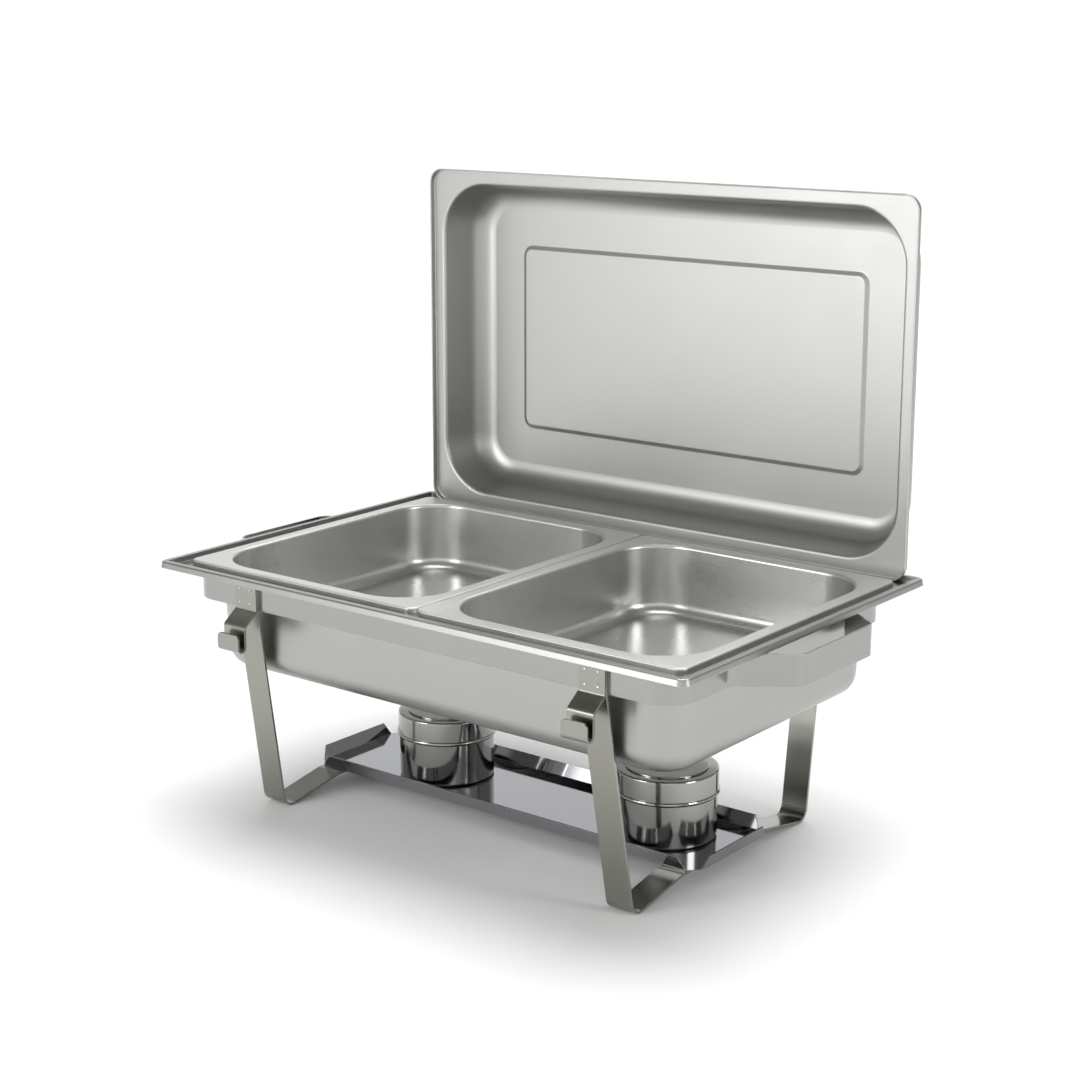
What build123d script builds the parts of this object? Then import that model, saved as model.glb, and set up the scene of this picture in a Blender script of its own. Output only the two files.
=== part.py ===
from build123d import *
import os
from math import asin, atan2, cos, degrees, pi, radians, sin, tan

os.makedirs("parts", exist_ok=True)

# A full-size chafing dish with its lid stood upright behind two half-size food pans.
# X runs along the long side, Y from front to rear, Z up from the floor. All in mm.

# Sheet and bar thicknesses
PAN_SHEET = 1.0
BAND_SHEET = 1.5
BAR_SHEET = 2.0
TRAY_SHEET = 1.0
CUP_SHEET = 0.8
REST_GAP = 0.1  # between pieces that rest on each other but lift apart

# The water pan is a loose fit in its band, and sits a little right and rear of the middle
PAN_SHIFT_X = 1.5
PAN_SHIFT_Y = 3.0

# Water pan: size over its turned-down lip, heights above the floor
WATER_LENGTH = 563.0
WATER_WIDTH = 369.0
WATER_CORNER = 8.0
WATER_LIP_FLARE = 1.2
WATER_LIP_Z = 217.0
WATER_RIM_Z = 222.5
WATER_FLANGE_Z = 217.4
CREST_WIDTH = 5.5
WATER_MOUTH_LENGTH = 506.0
WATER_MOUTH_WIDTH = 306.0
WATER_MOUTH_RADIUS = 38.0
WATER_DEPTH = 92.0
WATER_DRAFT = 3.8
WATER_BEND = 3.0
WATER_FLOOR_RADIUS = 18.0

# Food pans: two half-size gastronorm pans side by side
FOOD_LENGTH = 264.2
FOOD_WIDTH = 324.6
FOOD_SPACING = 264.6
FOOD_CORNER = 8.0
FOOD_LIP = 4.8
FOOD_LIP_FLARE = 0.6
FOOD_FLANGE = 13.0
FOOD_MOUTH_RADIUS = 48.0
FOOD_DEPTH = 65.0
FOOD_DRAFT = 3.0
FOOD_BEND = 3.0
FOOD_FLOOR_RADIUS = 12.0

# Lid, drawn closed and then turned up about the line that its rear edge rolls on
LID_LENGTH = 533.0
LID_WIDTH = 331.0
LID_CORNER = 14.0
LID_LIP = 6.2
LID_LIP_FLARE = 0.6
LID_FLANGE = 13.0
LID_MOUTH_RADIUS = 50.0
LID_DEPTH = 51.0
LID_DRAFT = 9.0
LID_BEND = 3.0
LID_CROWN_RADIUS = 20.0
LID_OPEN_FRONT_Y = 170.9  # front of the standing lid's turned lip
PANEL_LENGTH = 377.0
PANEL_WIDTH = 174.0
PANEL_RADIUS = 7.0
PANEL_DROP = 2.2
PANEL_RAMP = 62.0  # degrees between the ramp around the panel and the lid's own axis

# Lid handle: a bent strap welded to the crown
HANDLE_WIDTH = 22.0
HANDLE_SHEET = 2.0
HANDLE_FOOT = 20.0
HANDLE_SPAN = 132.0
HANDLE_GRIP = 84.0
HANDLE_HEIGHT = 32.0
HANDLE_BEND = 6.0

# Stand band, which bulges outwards at both ends into the carrying handles
BAND_HALF_LENGTH = 261.0
BAND_HALF_WIDTH = 160.8
BAND_CORNER = 29.0
BAND_HEIGHT = 26.0
GRIP_OUT = 305.7  # outer face of the grip from the centre
GRIP_HALF = 53.9  # half of the straight grip
GRIP_ROOT = 86.0  # where the band leaves the end towards the grip
GRIP_BEND = 12.0

# Legs: one bar from the front of the band, under the tray and up to the rear of it
LEG_X = 186.2
LEG_WIDTH = 25.0
LEG_TOP_Z = 214.3
LEG_KNEE_Z = 189.0
LEG_TILT = 9.5  # degrees inwards from front and rear
LEG_SPLAY = 1.4  # degrees outwards to the ends
LEG_FOOT_RADIUS = 11.0  # of the bar's middle line
LEG_KNEE_RADIUS = 8.0
TRAY_REST_HALF = 62.0  # half of the level stretch under the tray

# Fuel tray
TRAY_HALF_LENGTH = 212.0
TRAY_HALF_WIDTH = 56.0
TRAY_FLOOR_Z = 14.5  # its upper face
TRAY_NOTCH = 10.0
TRAY_LIP_RISE = 11.0
TRAY_LIP_FLARE = 4.0
TRAY_LIP_TAPER = 6.0

# Lid hooks, welded over the tops of the legs
HOOK_TOP_Z = 214.3
HOOK_BEND_Z = 189.5
HOOK_X = 186.5
HOOK_DROP_Y = 178.0
HOOK_DROP_Z = 179.0
HOOK_U_Z = 158.0
HOOK_U_WIDTH = 8.0
HOOK_TAB_Z = 173.5
HOOK_BEND = 3.0
HOOK_TAB_CORNER = 4.0

WELD_OFFSETS = (-6.2, 6.2)  # of the spot-weld dents from the hook's middle
WELD_HEIGHTS = (197.3, 209.4)
WELD_RADIUS = 1.9
WELD_DEPTH = 0.35

# Fuel holders
HOLDER_PLACES = {"left": (-100.0, 0.0), "right": (143.0, 2.0)}
CUP_RADIUS = 43.0
CUP_HEIGHT = 60.0
CAP_RADIUS = 44.2
CAP_HEIGHT = 22.0
CAP_HOLE_RADIUS = 27.0
BEAD_RADIUS = 2.0
DISC_RADIUS = 35.5
DISC_SHEET = 1.2
DISC_GAP = 0.2
RIVET_ORBIT = 31.0
RIVET_ANGLE = 100.0
RIVET_RADIUS = 2.0
RIVET_HEAD_RADIUS = 4.2
RIVET_HEAD_RISE = 1.6
RIVET_CLEARANCE = 0.05

# Worked out from the above
FOOD_REST_Z = WATER_FLANGE_Z + REST_GAP
FOOD_TOP_Z = FOOD_REST_Z + FOOD_LIP
LID_REST_Z = WATER_FLANGE_Z + REST_GAP
LID_TOP_Z = LID_REST_Z + LID_LIP
BAND_TOP_Z = WATER_FLANGE_Z - PAN_SHEET - REST_GAP
BAND_FLOOR_Z = BAND_TOP_Z - BAND_HEIGHT
HINGE_Y = (LID_OPEN_FRONT_Y + LID_WIDTH / 2) / 2
HINGE_Z = LID_REST_Z + LID_WIDTH / 2 - HINGE_Y
LID_CROWN_Z = LID_TOP_Z + LID_DEPTH - PAN_SHEET
# the lid's handle reaches furthest to the rear, the hooks furthest to the front
REAR_Y = PAN_SHIFT_Y + HINGE_Y + LID_CROWN_Z - PANEL_DROP + HANDLE_HEIGHT - HINGE_Z
FRONT_Y = -(HOOK_DROP_Y + HOOK_U_WIDTH + BAR_SHEET / 2)
CENTRE_Y = (REAR_Y + FRONT_Y) / 2  # everything moves back by this, so the box is centred


def prism(length, width, radius, low, high, draft=0.0):
    """An upright rounded block from low to high. A positive draft narrows it downwards."""
    outline = Plane.XY.offset(high) * RectangleRounded(length, width, radius)
    return extrude(outline, amount=high - low, dir=(0, 0, -1), taper=draft)


def edges_at(shape, z):
    """The shape's edges that lie wholly at one height."""
    return shape.edges().filter_by_position(Axis.Z, z - 0.01, z + 0.01)


def inside(edges, half_length, half_width):
    """Those edges that lie within a centred rectangle."""
    kept = []
    for edge in edges:
        box = edge.bounding_box()
        if box.max.X <= half_length and box.min.X >= -half_length:
            if box.max.Y <= half_width and box.min.Y >= -half_width:
                kept.append(edge)
    return kept


def pressed_dish(length, width, corner, mouth, mouth_radius, depth, draft, bend, floor_radius):
    """A drawn dish with a flat flange whose upper face is at z = 0, open upwards."""
    mouth_length, mouth_width = mouth
    reach = (mouth_length / 2 + bend + 4, mouth_width / 2 + bend + 4)
    over = PAN_SHEET * 2
    plate = prism(length, width, corner, -PAN_SHEET, 0)
    body = prism(mouth_length + over, mouth_width + over, mouth_radius + PAN_SHEET, -depth, 0, draft)
    body = fillet(edges_at(body, -depth), floor_radius + PAN_SHEET)
    blank = plate + body
    blank = fillet(inside(edges_at(blank, -PAN_SHEET), *reach), bend - PAN_SHEET)
    hollow = prism(mouth_length, mouth_width, mouth_radius, PAN_SHEET - depth, 0, draft)
    hollow = fillet(edges_at(hollow, PAN_SHEET - depth), floor_radius)
    dish = blank - hollow
    return fillet(inside(edges_at(dish, 0), *reach), bend)


def turned_lip(length, width, corner, drop, flare):
    """The lip around a flange: turned down from z = 0 and flared outwards by the given amount."""
    angle = -degrees(atan2(flare, drop))
    outer = prism(length, width, corner, -drop, 0, angle)
    thin = 2 * PAN_SHEET
    inner = prism(length - thin, width - thin, corner - PAN_SHEET, -drop, 0, angle)
    return outer - inner


def soften(shape, z, radius):
    """Round the outermost edges at one height."""
    edges = edges_at(shape, z)
    widest = max(edge.bounding_box().max.X for edge in edges)
    deepest = max(edge.bounding_box().max.Y for edge in edges)
    near = inside(edges, widest - 0.5, deepest - 0.5)
    outer = [edge for edge in edges if edge not in near]
    return fillet(outer, radius)


def make_water_pan():
    """The full-size water pan, with a recessed flange inside a raised and turned-down rim."""
    top_length = WATER_LENGTH - 2 * WATER_LIP_FLARE
    top_width = WATER_WIDTH - 2 * WATER_LIP_FLARE
    inset = 2 * (CREST_WIDTH - PAN_SHEET)
    dish = pressed_dish(
        top_length - inset, top_width - inset, WATER_CORNER / 2,
        (WATER_MOUTH_LENGTH, WATER_MOUTH_WIDTH), WATER_MOUTH_RADIUS,
        WATER_DEPTH, WATER_DRAFT, WATER_BEND, WATER_FLOOR_RADIUS,
    )
    rise = WATER_RIM_Z - WATER_FLANGE_Z
    wall = prism(top_length - inset, top_width - inset, WATER_CORNER / 2, -PAN_SHEET, rise)
    gap = inset + 2 * PAN_SHEET
    wall -= prism(top_length - gap, top_width - gap, WATER_CORNER / 2 - PAN_SHEET, -PAN_SHEET, rise)
    crest = prism(top_length, top_width, WATER_CORNER, rise - PAN_SHEET, rise)
    crest -= prism(top_length - gap, top_width - gap, WATER_CORNER / 2 - PAN_SHEET, -PAN_SHEET, rise)
    drop = WATER_RIM_Z - WATER_LIP_Z
    lip = turned_lip(top_length, top_width, WATER_CORNER, drop, WATER_LIP_FLARE)
    pan = dish + wall + crest + Pos(0, 0, rise) * lip
    return Pos(0, 0, WATER_FLANGE_Z) * soften(pan, rise, 1.8)


def make_food_pan(x):
    """A half-size food pan that hangs by its lip on the water pan's flange."""
    length = FOOD_LENGTH - 2 * FOOD_LIP_FLARE
    width = FOOD_WIDTH - 2 * FOOD_LIP_FLARE
    dish = pressed_dish(
        length, width, FOOD_CORNER,
        (length - 2 * FOOD_FLANGE, width - 2 * FOOD_FLANGE), FOOD_MOUTH_RADIUS,
        FOOD_DEPTH, FOOD_DRAFT, FOOD_BEND, FOOD_FLOOR_RADIUS,
    )
    pan = dish + turned_lip(length, width, FOOD_CORNER, FOOD_LIP, FOOD_LIP_FLARE)
    return Pos(x, 0, FOOD_TOP_Z) * soften(pan, 0, 1.6)


def stand_up(piece):
    """Turn a piece of the closed lid up to the standing position."""
    axis = Axis((0, HINGE_Y, HINGE_Z), (1, 0, 0))
    return piece.rotate(axis, -90)


def make_lid():
    """The domed lid with a panel pressed inwards, stood on its rear edge."""
    length = LID_LENGTH - 2 * LID_LIP_FLARE
    width = LID_WIDTH - 2 * LID_LIP_FLARE
    dish = pressed_dish(
        length, width, LID_CORNER,
        (length - 2 * LID_FLANGE, width - 2 * LID_FLANGE), LID_MOUTH_RADIUS,
        LID_DEPTH, LID_DRAFT, LID_BEND, LID_CROWN_RADIUS,
    )
    crown = -LID_DEPTH
    raised = crown + PANEL_DROP
    panel = prism(PANEL_LENGTH, PANEL_WIDTH, PANEL_RADIUS, crown, raised + PAN_SHEET, -PANEL_RAMP)
    recess = prism(PANEL_LENGTH, PANEL_WIDTH, PANEL_RADIUS, crown, raised, -PANEL_RAMP)
    dish = dish + panel - recess
    dome = Pos(0, 0, -PAN_SHEET) * Rotation(180, 0, 0) * dish
    lip = turned_lip(length, width, LID_CORNER, LID_LIP, LID_LIP_FLARE)
    lid = Pos(0, 0, LID_TOP_Z) * soften(dome + lip, 0, 1.6)
    return stand_up(lid)


def strip(points, bends, sheet, x, width):
    """A flat bar of the given width about x, bent in the YZ plane along points (y, z)."""
    middle = FilletPolyline(*points, radius=bends)
    face = trace(middle, line_width=sheet)
    plane = Plane(origin=(x - width / 2, 0, 0), x_dir=(0, 1, 0), z_dir=(1, 0, 0))
    return extrude(plane * face, amount=width)


def make_lid_handle():
    """The strap handle, drawn over the closed lid's crown."""
    low = LID_CROWN_Z - PANEL_DROP + HANDLE_SHEET / 2
    high = low + HANDLE_HEIGHT - HANDLE_SHEET
    outer, inner, grip = HANDLE_SPAN / 2, HANDLE_SPAN / 2 - HANDLE_FOOT, HANDLE_GRIP / 2
    points = [(-outer, low), (-inner, low), (-grip, high), (grip, high), (inner, low), (outer, low)]
    middle = FilletPolyline(*points, radius=HANDLE_BEND)
    face = Plane.XZ * trace(middle, line_width=HANDLE_SHEET)
    bar = extrude(face, amount=HANDLE_WIDTH / 2, both=True)
    return stand_up(bar)


def make_band():
    """The one-piece band: straight sides, round corners and a grip bulged out at each end."""
    quarter = [
        (BAND_HALF_LENGTH, -BAND_HALF_WIDTH, BAND_CORNER),
        (BAND_HALF_LENGTH, -GRIP_ROOT, GRIP_BEND),
        (GRIP_OUT, -GRIP_HALF, GRIP_BEND),
    ]
    right = quarter + [(x, -y, r) for x, y, r in reversed(quarter)]
    loop = right + [(-x, -y, r) for x, y, r in right]
    points = [(x, y) for x, y, r in loop]
    bends = [r for x, y, r in loop]
    outer = make_face(FilletPolyline(*points, radius=bends, close=True))
    ring = outer - offset(outer, amount=-BAND_SHEET)
    return extrude(Plane.XY.offset(BAND_FLOOR_Z) * ring, amount=BAND_HEIGHT)


def leg_points():
    """The front half of a leg's middle line: band, knee, foot corner and tray rest."""
    top_y = -(BAND_HALF_WIDTH + BAR_SHEET / 2)
    tilt = radians(LEG_TILT)
    # the splay lowers one edge of the bar, lifts the other and raises the whole foot a little
    slant = LEG_WIDTH / 2 * sin(radians(LEG_SPLAY))
    lift = LEG_TOP_Z * (1 - cos(radians(LEG_SPLAY)))
    floor_to_middle = LEG_FOOT_RADIUS + BAR_SHEET / 2 + slant - lift
    # the foot's bend is tangent to the tilted leg and to the rise towards the tray
    foot_y = top_y + (LEG_KNEE_Z - floor_to_middle) * tan(tilt) + LEG_FOOT_RADIUS / cos(tilt)
    rest_z = TRAY_FLOOR_Z - TRAY_SHEET - BAR_SHEET / 2 - slant - lift
    away_y = -TRAY_REST_HALF - foot_y
    away_z = rest_z - floor_to_middle
    reach = (away_y**2 + away_z**2) ** 0.5
    rise = atan2(away_z, away_y) + asin(LEG_FOOT_RADIUS / reach)
    # where the tilted line and the rising line cross
    drop = (-TRAY_REST_HALF - top_y) * tan(rise) - (rest_z - LEG_KNEE_Z)
    down = drop / (cos(tilt) + sin(tilt) * tan(rise))
    corner = (top_y + down * sin(tilt), LEG_KNEE_Z - down * cos(tilt))
    return [(top_y, LEG_TOP_Z), (top_y, LEG_KNEE_Z), corner, (-TRAY_REST_HALF, rest_z)]


def make_leg(x):
    """One leg bar, front and rear alike."""
    front = leg_points()
    points = front + [(-y, z) for y, z in reversed(front)]
    half = [LEG_KNEE_RADIUS, LEG_FOOT_RADIUS, LEG_FOOT_RADIUS]
    bends = half + half[::-1]
    leg = strip(points, bends, BAR_SHEET, x, LEG_WIDTH)
    splay = LEG_SPLAY if x < 0 else -LEG_SPLAY
    return leg.rotate(Axis((x, 0, LEG_TOP_Z), (0, 1, 0)), splay)


def make_hook(x, side):
    """A lid hook: plate, outward step, drop and upturned tab. side is -1 at the front."""
    plate_y = BAND_HALF_WIDTH + BAR_SHEET * 1.5
    outer_y = HOOK_DROP_Y + HOOK_U_WIDTH
    points = [
        (plate_y, HOOK_TOP_Z),
        (plate_y, HOOK_BEND_Z),
        (HOOK_DROP_Y, HOOK_DROP_Z),
        (HOOK_DROP_Y, HOOK_U_Z),
        (outer_y, HOOK_U_Z),
        (outer_y, HOOK_TAB_Z),
    ]
    u_bend = HOOK_U_WIDTH / 2 - 0.05
    bends = [HOOK_BEND, HOOK_BEND, u_bend, u_bend]
    points = [(side * y, z) for y, z in points]
    hook = strip(points, bends, BAR_SHEET, x, LEG_WIDTH)
    tips = hook.edges().filter_by(Axis.Y).filter_by_position(Axis.Z, HOOK_TAB_Z - 0.1, HOOK_TAB_Z + 0.1)
    hook = fillet(tips, HOOK_TAB_CORNER)
    # shallow spot-weld dents in the plate's outer face
    ball = (WELD_RADIUS**2 + WELD_DEPTH**2) / (2 * WELD_DEPTH)
    dent_y = plate_y + BAR_SHEET / 2 - WELD_DEPTH + ball
    for offset_x in WELD_OFFSETS:
        for z in WELD_HEIGHTS:
            hook -= Pos(x + offset_x, side * dent_y, z) * Sphere(ball)
    return hook


def tray_lip(half_span, out, along_x):
    """One flared lip of the tray, at distance out from the centre along X or Y."""
    rise = TRAY_LIP_RISE
    angle = atan2(rise, TRAY_LIP_FLARE)
    run = rise / sin(angle)
    low, top = half_span, half_span - TRAY_LIP_TAPER
    face = make_face(Polyline((-low, -TRAY_SHEET), (low, -TRAY_SHEET), (low, 0), (top, run),
                              (-top, run), (-low, 0), close=True))
    # the lip's own plane leans outwards from the fold
    lean = (cos(angle), 0, sin(angle)) if along_x else (0, cos(angle), sin(angle))
    across = (0, 1, 0) if along_x else (-1, 0, 0)
    origin = (out, 0, TRAY_FLOOR_Z) if along_x else (0, out, TRAY_FLOOR_Z)
    normal = Vector(across).cross(Vector(lean))
    plane = Plane(origin=origin, x_dir=across, z_dir=normal)
    return extrude(plane * face, amount=TRAY_SHEET, dir=(-normal.X, -normal.Y, -normal.Z))


def make_tray():
    """The fuel tray: a flat floor with notched corners and four flared lips."""
    floor = Rectangle(2 * TRAY_HALF_LENGTH, 2 * TRAY_HALF_WIDTH)
    floor = chamfer(floor.vertices(), TRAY_NOTCH)
    tray = extrude(Plane.XY.offset(TRAY_FLOOR_Z - TRAY_SHEET) * floor, amount=TRAY_SHEET)
    end = tray_lip(TRAY_HALF_WIDTH - TRAY_NOTCH, TRAY_HALF_LENGTH, True)
    side = tray_lip(TRAY_HALF_LENGTH - TRAY_NOTCH, TRAY_HALF_WIDTH, False)
    turned = Rotation(0, 0, 180)
    return tray + end + side + turned * end + turned * side


def make_fuel_cup():
    """A plain round cup about the Z axis, standing on z = 0."""
    cup = Cylinder(CUP_RADIUS, CUP_HEIGHT, align=(Align.CENTER, Align.CENTER, Align.MIN))
    cup = fillet(edges_at(cup, 0), 2.5)
    hollow = Cylinder(CUP_RADIUS - CUP_SHEET, CUP_HEIGHT, align=(Align.CENTER, Align.CENTER, Align.MIN))
    hollow = fillet(edges_at(hollow, 0), 2.5 - CUP_SHEET)
    return cup - Pos(0, 0, CUP_SHEET) * hollow


def make_fuel_cap(pin):
    """The cap over the cup: a short skirt with a bead at its lower edge and a round burning hole."""
    top = CUP_HEIGHT + CUP_SHEET
    low = top - CAP_HEIGHT
    base = (Align.CENTER, Align.CENTER, Align.MIN)
    cap = Pos(0, 0, low) * Cylinder(CAP_RADIUS, CAP_HEIGHT, align=base)
    cap = fillet(edges_at(cap, top), 1.6)
    bead = Pos(0, 0, low + BEAD_RADIUS) * Torus(CAP_RADIUS - 0.8, BEAD_RADIUS)
    cap = cap + bead
    cap -= Pos(0, 0, low - 1) * Cylinder(CAP_RADIUS - CUP_SHEET, CAP_HEIGHT + 1 - CUP_SHEET, align=base)
    cap -= Pos(0, 0, low) * Cylinder(CAP_HOLE_RADIUS, CAP_HEIGHT + 1, align=base)
    hole = RIVET_RADIUS + RIVET_CLEARANCE / 2
    return cap - pin * Pos(0, 0, low) * Cylinder(hole, CAP_HEIGHT + 1, align=base)


def make_snuffer_disc(pin):
    """The flat cover disc that swings over the burning hole."""
    base = (Align.CENTER, Align.CENTER, Align.MIN)
    low = CUP_HEIGHT + CUP_SHEET + DISC_GAP
    disc = Pos(0, 0, low) * Cylinder(DISC_RADIUS, DISC_SHEET, align=base)
    disc = fillet(edges_at(disc, low + DISC_SHEET), 0.5)
    return disc - pin * Pos(0, 0, low - 1) * Cylinder(RIVET_RADIUS + RIVET_CLEARANCE, DISC_SHEET + 2, align=base)


def make_rivet(pin):
    """The rivet that the disc turns on: shank, domed head above and flat head below the cap."""
    base = (Align.CENTER, Align.CENTER, Align.MIN)
    cap_low = CUP_HEIGHT
    head_low = CUP_HEIGHT + CUP_SHEET + 2 * DISC_GAP + DISC_SHEET
    shank = Pos(0, 0, cap_low) * Cylinder(RIVET_RADIUS, head_low - cap_low, align=base)
    head = Pos(0, 0, head_low) * Cylinder(RIVET_HEAD_RADIUS, RIVET_HEAD_RISE, align=base)
    head = fillet(edges_at(head, head_low + RIVET_HEAD_RISE), RIVET_HEAD_RISE * 0.9)
    foot = Pos(0, 0, cap_low - 1) * Cylinder(RIVET_HEAD_RADIUS * 0.8, 1, align=base)
    return pin * (shank + head + foot)


def make_holder(side, place):
    """The pieces of one fuel holder, standing on the tray."""
    x, y = place
    angle = radians(RIVET_ANGLE)
    pin = Pos(RIVET_ORBIT * cos(angle), RIVET_ORBIT * sin(angle), 0)
    seat = Pos(x, y, TRAY_FLOOR_Z + REST_GAP)
    return {
        f"fuel_cup_{side}": seat * make_fuel_cup(),
        f"fuel_cap_{side}": seat * make_fuel_cap(pin),
        f"snuffer_disc_{side}": seat * make_snuffer_disc(pin),
        f"snuffer_rivet_{side}": seat * make_rivet(pin),
    }


def make_all():
    loose = Pos(PAN_SHIFT_X, PAN_SHIFT_Y, 0)
    pieces = {
        "stand_band": make_band(),
        "fuel_tray": make_tray(),
        "water_pan": loose * make_water_pan(),
        "food_pan_left": loose * make_food_pan(-FOOD_SPACING / 2),
        "food_pan_right": loose * make_food_pan(FOOD_SPACING / 2),
        "lid": loose * make_lid(),
        "lid_handle": loose * make_lid_handle(),
    }
    for side, way in (("left", -1), ("right", 1)):
        pieces[f"leg_bar_{side}"] = make_leg(way * LEG_X)
        pieces[f"lid_hook_front_{side}"] = make_hook(way * HOOK_X, -1)
        pieces[f"lid_hook_rear_{side}"] = make_hook(way * HOOK_X, 1)
    for side, place in HOLDER_PLACES.items():
        pieces.update(make_holder(side, place))
    return pieces


for node, piece in make_all().items():
    piece = Pos(0, -CENTRE_Y, 0) * piece
    piece.label = node
    export_step(piece, f"parts/{node}.step")
hinge_y = HINGE_Y + PAN_SHIFT_Y - CENTRE_Y
print(f"centre moved by {CENTRE_Y:.3f}, lid hinge at y {hinge_y:.3f}, z {HINGE_Z:.3f}")
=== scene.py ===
import math

import bpy
from mathutils import Matrix, Vector

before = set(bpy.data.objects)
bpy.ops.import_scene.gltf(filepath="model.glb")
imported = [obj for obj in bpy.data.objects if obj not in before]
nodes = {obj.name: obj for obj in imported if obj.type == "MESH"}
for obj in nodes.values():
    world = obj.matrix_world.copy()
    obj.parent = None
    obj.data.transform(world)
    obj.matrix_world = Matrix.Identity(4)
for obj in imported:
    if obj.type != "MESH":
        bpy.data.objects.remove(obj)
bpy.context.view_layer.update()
scene = bpy.context.scene


# ---------------------------------------------------------------- node helpers
class Graph:
    """A small helper that builds one material's or world's node tree."""

    def __init__(self, tree):
        self.tree = tree
        tree.nodes.clear()

    def put(self, node, key, value):
        """Link value to an input if it is a socket, otherwise set it there."""
        if isinstance(value, bpy.types.NodeSocket):
            self.tree.links.new(value, node.inputs[key])
        else:
            node.inputs[key].default_value = value

    def add(self, kind, values=None, **settings):
        node = self.tree.nodes.new(kind)
        for key, value in settings.items():
            setattr(node, key, value)
        for key, value in (values or {}).items():
            self.put(node, key, value)
        return node

    def math(self, operation, a, b, clamp=False):
        node = self.add("ShaderNodeMath", {0: a, 1: b}, operation=operation, use_clamp=clamp)
        return node.outputs[0]

    def plus(self, a, b):
        return self.math("ADD", a, b)

    def times(self, a, b):
        return self.math("MULTIPLY", a, b)

    def around_zero(self, noise, spread):
        """Noise of 0 to 1 moved to vary by spread each way round zero."""
        return self.times(self.math("SUBTRACT", noise, 0.5), spread * 2)

    def dot(self, a, b):
        node = self.add("ShaderNodeVectorMath", {0: a, 1: b}, operation="DOT_PRODUCT")
        return node.outputs["Value"]

    def split(self, vector):
        return self.add("ShaderNodeSeparateXYZ", {0: vector}).outputs

    def mix(self, factor, a, b):
        node = self.add("ShaderNodeMix", {0: factor, 2: a, 3: b}, data_type="FLOAT")
        return node.outputs[0]

    def mix_color(self, factor, a, b):
        node = self.add("ShaderNodeMix", {0: factor, 6: a, 7: b}, data_type="RGBA")
        return node.outputs[2]

    def ramp(self, factor, low, high):
        """0 at low, 1 at high, smooth between."""
        node = self.add(
            "ShaderNodeMapRange",
            {0: factor, 1: low, 2: high, 3: 0.0, 4: 1.0},
            interpolation_type="SMOOTHSTEP",
        )
        return node.outputs[0]

    def noise(self, vector, scale, detail, roughness=0.5, distortion=0.0):
        node = self.add(
            "ShaderNodeTexNoise",
            {"Vector": vector, "Scale": scale, "Detail": detail,
             "Roughness": roughness, "Distortion": distortion},
        )
        return node.outputs["Fac"]


def rgb(red, green, blue):
    return (red, green, blue, 1.0)


# ---------------------------------------------------------------- materials
GRAIN_DEPTH = 0.0004     # metres, the height of the brushed grain at full strength
CLOUD_SCALE = 14.0       # handling marks across one metre
SPECK_SCALE = 900.0      # fine specks across one metre
RIM_FLAT = 0.995         # agreement of the true and softened normals on a flat face
RIM_EDGE = 0.9           # the same agreement right on an edge
EDGE_HIGHLIGHT_GAIN = 1.5       # how much lighter the colour is painted along edges, a painted highlight
CHANGE_DEPTH = 0.001     # metres over which the roughness changes at a rim


def steel(name, color, rough, stretch, grain=0.05, fine=0.02, smudge=0.06,
          edge=0.0003, wear=0.12, above=None, factor=1.0):
    """Stainless steel with a directional grain, faint handling marks, softened edges and a
    highlight painted as a lighter colour along the edges.

    stretch is how many grain lines lie along one metre of X, Y and Z. Above the height above,
    where given, the roughness is multiplied by factor.
    """
    material = bpy.data.materials.new(name)
    material.use_nodes = True
    g = Graph(material.node_tree)
    place = g.add("ShaderNodeTexCoord").outputs["Object"]
    lines = g.add("ShaderNodeMapping", {"Vector": place, "Scale": stretch}).outputs[0]
    grain_a = g.noise(lines, 1.0, 3.0, 0.6)
    grain_b = g.noise(lines, 3.7, 2.0)
    cloud = g.noise(place, CLOUD_SCALE, 4.0, 0.55, 0.3)
    speck = g.noise(place, SPECK_SCALE, 2.0)

    soft = g.add("ShaderNodeBevel", {"Radius": edge}, samples=4).outputs[0]
    sharp = g.add("ShaderNodeNewGeometry").outputs["Normal"]
    rim = g.ramp(g.dot(soft, sharp), RIM_FLAT, RIM_EDGE)

    height = g.plus(g.times(grain_a, 0.7), g.times(grain_b, 0.3))
    height = g.plus(height, g.times(speck, 0.12))
    bump = g.add("ShaderNodeBump", {
        "Strength": fine, "Distance": GRAIN_DEPTH, "Height": height, "Normal": soft,
    }).outputs[0]

    roughness = g.plus(rough, g.around_zero(grain_a, grain))
    roughness = g.plus(roughness, g.around_zero(cloud, smudge))
    roughness = g.math("SUBTRACT", roughness, g.times(rim, wear), clamp=True)
    if above:
        over = g.ramp(g.split(place)[2], above - CHANGE_DEPTH, above)
        roughness = g.times(roughness, g.mix(over, 1.0, factor))

    shade = g.plus(0.95, g.times(grain_b, 0.05))
    shade = g.plus(shade, g.around_zero(cloud, 0.025))
    channels = [g.times(shade, channel) for channel in color[:3]]
    tone = g.add("ShaderNodeCombineColor", dict(enumerate(channels))).outputs[0]
    # Painted highlight: the base colour along the edges is made lighter to stand in for light
    # caught there.
    painted_edge_highlight = rgb(*(min(1.0, channel * EDGE_HIGHLIGHT_GAIN) for channel in color[:3]))
    shader = g.add("ShaderNodeBsdfPrincipled", {
        "Base Color": g.mix_color(rim, tone, painted_edge_highlight),
        "Metallic": 1.0, "Roughness": roughness, "Normal": bump,
    })
    g.add("ShaderNodeOutputMaterial", {"Surface": shader.outputs[0]})
    return material


# Grain lines across one metre of X, Y and Z.
ALONG_X = (18.0, 3200.0, 3200.0)
ALONG_Z = (3200.0, 3200.0, 18.0)
ALL_WAYS = (900.0, 900.0, 900.0)

# Heights in metres above which the pans' flat rims start.
FOOD_RIM_HEIGHT = 0.2212
WATER_RIM_HEIGHT = 0.2185

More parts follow.
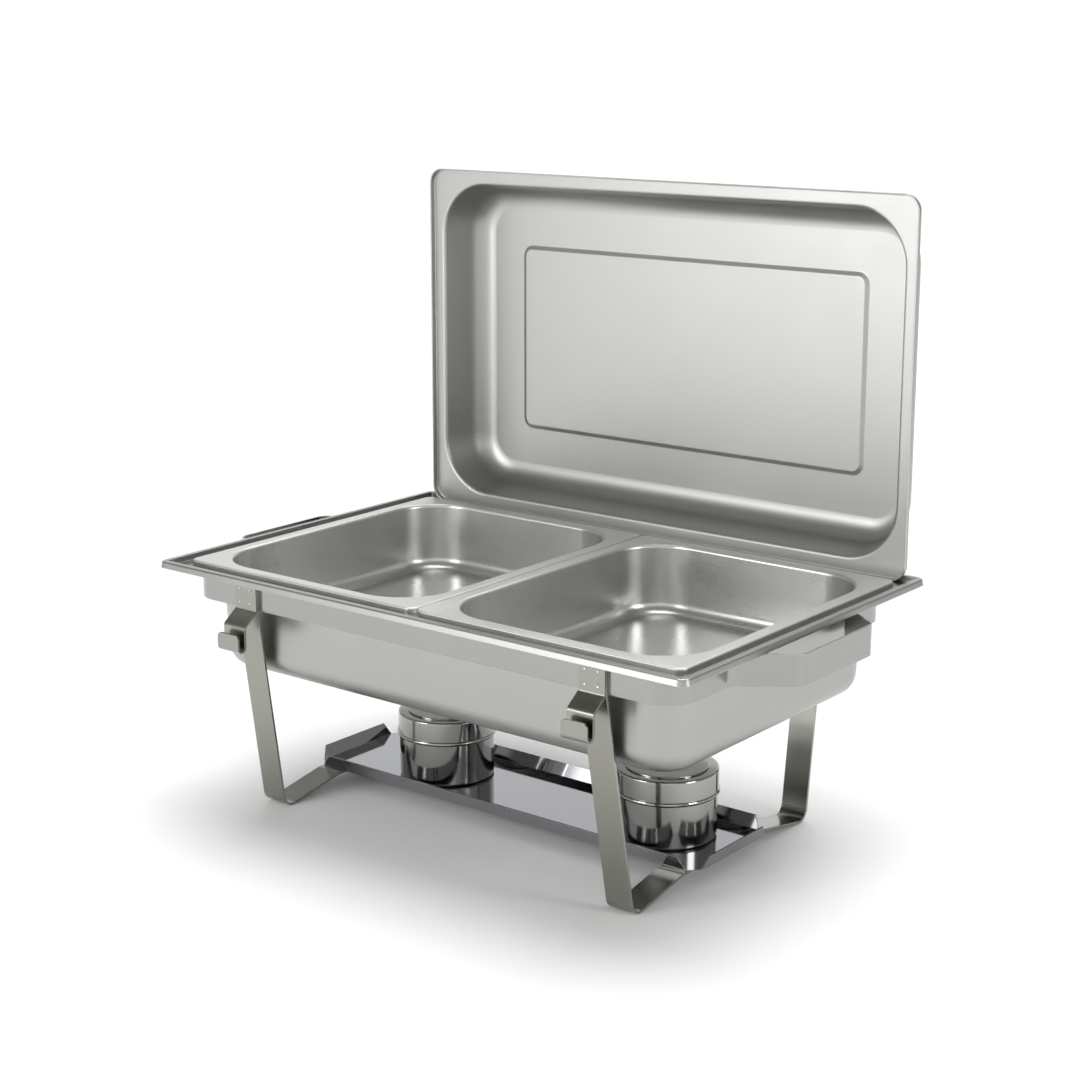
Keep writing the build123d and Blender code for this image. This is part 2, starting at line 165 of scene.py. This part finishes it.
dish_steel = steel("dish_steel", rgb(0.62, 0.62, 0.605), 0.29, ALONG_X,
                   grain=0.03, fine=0.012, edge=0.0008, above=FOOD_RIM_HEIGHT, factor=1.6)
pan_steel = steel("pan_steel", rgb(0.38, 0.38, 0.365), 0.32, ALONG_X,
                  grain=0.03, edge=0.0008, above=WATER_RIM_HEIGHT, factor=1.1)
lid_steel = steel("lid_steel", rgb(0.43, 0.43, 0.417), 0.42, ALONG_X,
                  grain=0.03, fine=0.012, edge=0.0014)
band_steel = steel("band_steel", rgb(0.325, 0.325, 0.315), 0.20, ALONG_X, edge=0.0005)
bar_steel = steel("bar_steel", rgb(0.30, 0.30, 0.27), 0.24, ALONG_Z, edge=0.0006)
mirror_sheet = steel("mirror_sheet", rgb(0.35, 0.355, 0.37), 0.06, ALONG_X,
                     grain=0.01, fine=0.004, smudge=0.03)
burner_steel = steel("burner_steel", rgb(0.36, 0.36, 0.345), 0.12, ALONG_X,
                     grain=0.03, fine=0.01)
rivet_steel = steel("rivet_steel", rgb(0.40, 0.40, 0.39), 0.30, ALL_WAYS)

# The start of a node's name, and its steel.
FINISHES = {
    "water_pan": pan_steel,
    "food_pan": dish_steel,
    "lid_handle": bar_steel,
    "lid_hook": bar_steel,
    "lid": lid_steel,
    "stand_band": band_steel,
    "leg_bar": bar_steel,
    "fuel_tray": mirror_sheet,
    "fuel_cup": burner_steel,
    "fuel_cap": burner_steel,
    "snuffer_disc": burner_steel,
    "snuffer_rivet": rivet_steel,
}


def finish_of(name):
    """The steel whose key is the longest start of the node's name."""
    fitting = [key for key in FINISHES if name.startswith(key)]
    return FINISHES[max(fitting, key=len)]


for name, node in nodes.items():
    node.data.materials.clear()
    node.data.materials.append(finish_of(name))


# ---------------------------------------------------------------- studio
FLOOR_SIDE = 14.0
AIM = (0.0, 0.0, 0.25)


def sheet(name, width, depth):
    """A flat rectangle round the origin."""
    mesh = bpy.data.meshes.new(name)
    x, y = width / 2, depth / 2
    mesh.from_pydata([(-x, -y, 0), (x, -y, 0), (x, y, 0), (-x, y, 0)], [], [(0, 1, 2, 3)])
    obj = bpy.data.objects.new(name, mesh)
    scene.collection.objects.link(obj)
    return obj


def plain(name, color, rough):
    material = bpy.data.materials.new(name)
    material.use_nodes = True
    g = Graph(material.node_tree)
    shader = g.add("ShaderNodeBsdfPrincipled", {"Base Color": color, "Roughness": rough})
    g.add("ShaderNodeOutputMaterial", {"Surface": shader.outputs[0]})
    return material


floor = sheet("floor", FLOOR_SIDE, FLOOR_SIDE)
floor.data.materials.append(plain("floor_paper", rgb(0.93, 0.93, 0.93), 0.9))


def add_lamp(name, data):
    lamp = bpy.data.objects.new(name, data)
    scene.collection.objects.link(lamp)
    return lamp


def light(name, place, size, power):
    """A rectangular lamp aimed at the object; size is its width and height in metres."""
    data = bpy.data.lights.new(name, "AREA")
    data.shape = "RECTANGLE"
    data.size, data.size_y = size
    data.energy = power
    lamp = add_lamp(name, data)
    aim = Vector(AIM) - Vector(place)
    lamp.location = place
    lamp.rotation_euler = aim.to_track_quat("-Z", "Y").to_euler()


def sun(name, toward, spread, strength):
    """One distant soft source; toward points from the object to it, spread is in degrees."""
    data = bpy.data.lights.new(name, "SUN")
    data.angle = math.radians(spread)
    data.energy = strength
    lamp = add_lamp(name, data)
    lamp.rotation_euler = Vector(toward).to_track_quat("Z", "Y").to_euler()


sun("overhead", (-0.08, 0.30, 0.95), 50.0, 2.5)
light("front_box", (-0.72, -2.5, 1.0), (0.7, 1.4), 20.0)
light("right_box", (2.6, 0.09, 1.0), (0.7, 1.4), 20.0)
light("left_box", (-1.15, -2.2, 0.60), (0.7, 0.9), 5.0)

# Brightness of each part of the studio that the steel mirrors.
FRONT_WAY = (0.26, -0.97, 0.0)
SIDE_LEVEL = 0.38
FRONT_LEVEL = 1.10
REAR_LEFT_LEVEL = 1.06
REAR_RIGHT_LEVEL = 0.35
CEILING_LEVEL = 0.28

world = bpy.data.worlds.new("studio")
scene.world = world
world.use_nodes = True
g = Graph(world.node_tree)
look = g.split(g.add("ShaderNodeTexCoord").outputs["Generated"])
flat = g.add("ShaderNodeCombineXYZ", {0: look[0], 1: look[1]}).outputs[0]
flat = g.add("ShaderNodeVectorMath", {0: flat}, operation="NORMALIZE").outputs[0]
front = g.ramp(g.dot(flat, FRONT_WAY), 0.45, 0.75)
rear = g.ramp(look[1], 0.0, 0.5)
right = g.ramp(g.split(flat)[0], -0.25, 0.30)
high = g.ramp(look[2], 0.28, 0.70)
level = g.mix(front, SIDE_LEVEL, FRONT_LEVEL)
level = g.mix(rear, level, g.mix(right, REAR_LEFT_LEVEL, REAR_RIGHT_LEVEL))
level = g.mix(high, level, CEILING_LEVEL)
sky = g.add("ShaderNodeCombineColor", {0: level, 1: level, 2: level}).outputs[0]
back = g.add("ShaderNodeBackground", {"Color": sky, "Strength": 1.0})
g.add("ShaderNodeOutputWorld", {"Surface": back.outputs[0]})
scene.view_settings.view_transform = "Standard"


# ---------------------------------------------------------------- camera
CAMERA_PLACE = Vector((1.0786, -1.4032, 0.6800))
CAMERA_AZIMUTH = math.radians(38.07)
CAMERA_RISE = math.radians(12.8)
CAMERA_ROLL = math.radians(0.04)
CAMERA_LENS = 68.99
CAMERA_SHIFT_Y = -0.037

back_way = Vector((
    math.sin(CAMERA_AZIMUTH) * math.cos(CAMERA_RISE),
    -math.cos(CAMERA_AZIMUTH) * math.cos(CAMERA_RISE),
    math.sin(CAMERA_RISE),
))
right_way = (-back_way).cross(Vector((0, 0, 1))).normalized()
up_way = right_way.cross(-back_way)
turned_right = right_way * math.cos(CAMERA_ROLL) + up_way * math.sin(CAMERA_ROLL)
turned_up = up_way * math.cos(CAMERA_ROLL) - right_way * math.sin(CAMERA_ROLL)
camera_data = bpy.data.cameras.new("camera")
camera_data.sensor_width = 36.0
camera_data.lens = CAMERA_LENS
camera_data.shift_y = CAMERA_SHIFT_Y
camera = bpy.data.objects.new("camera", camera_data)
scene.collection.objects.link(camera)
camera.matrix_world = Matrix.Translation(CAMERA_PLACE) @ Matrix((
    (turned_right.x, turned_up.x, back_way.x, 0),
    (turned_right.y, turned_up.y, back_way.y, 0),
    (turned_right.z, turned_up.z, back_way.z, 0),
    (0, 0, 0, 1),
))
scene.camera = camera
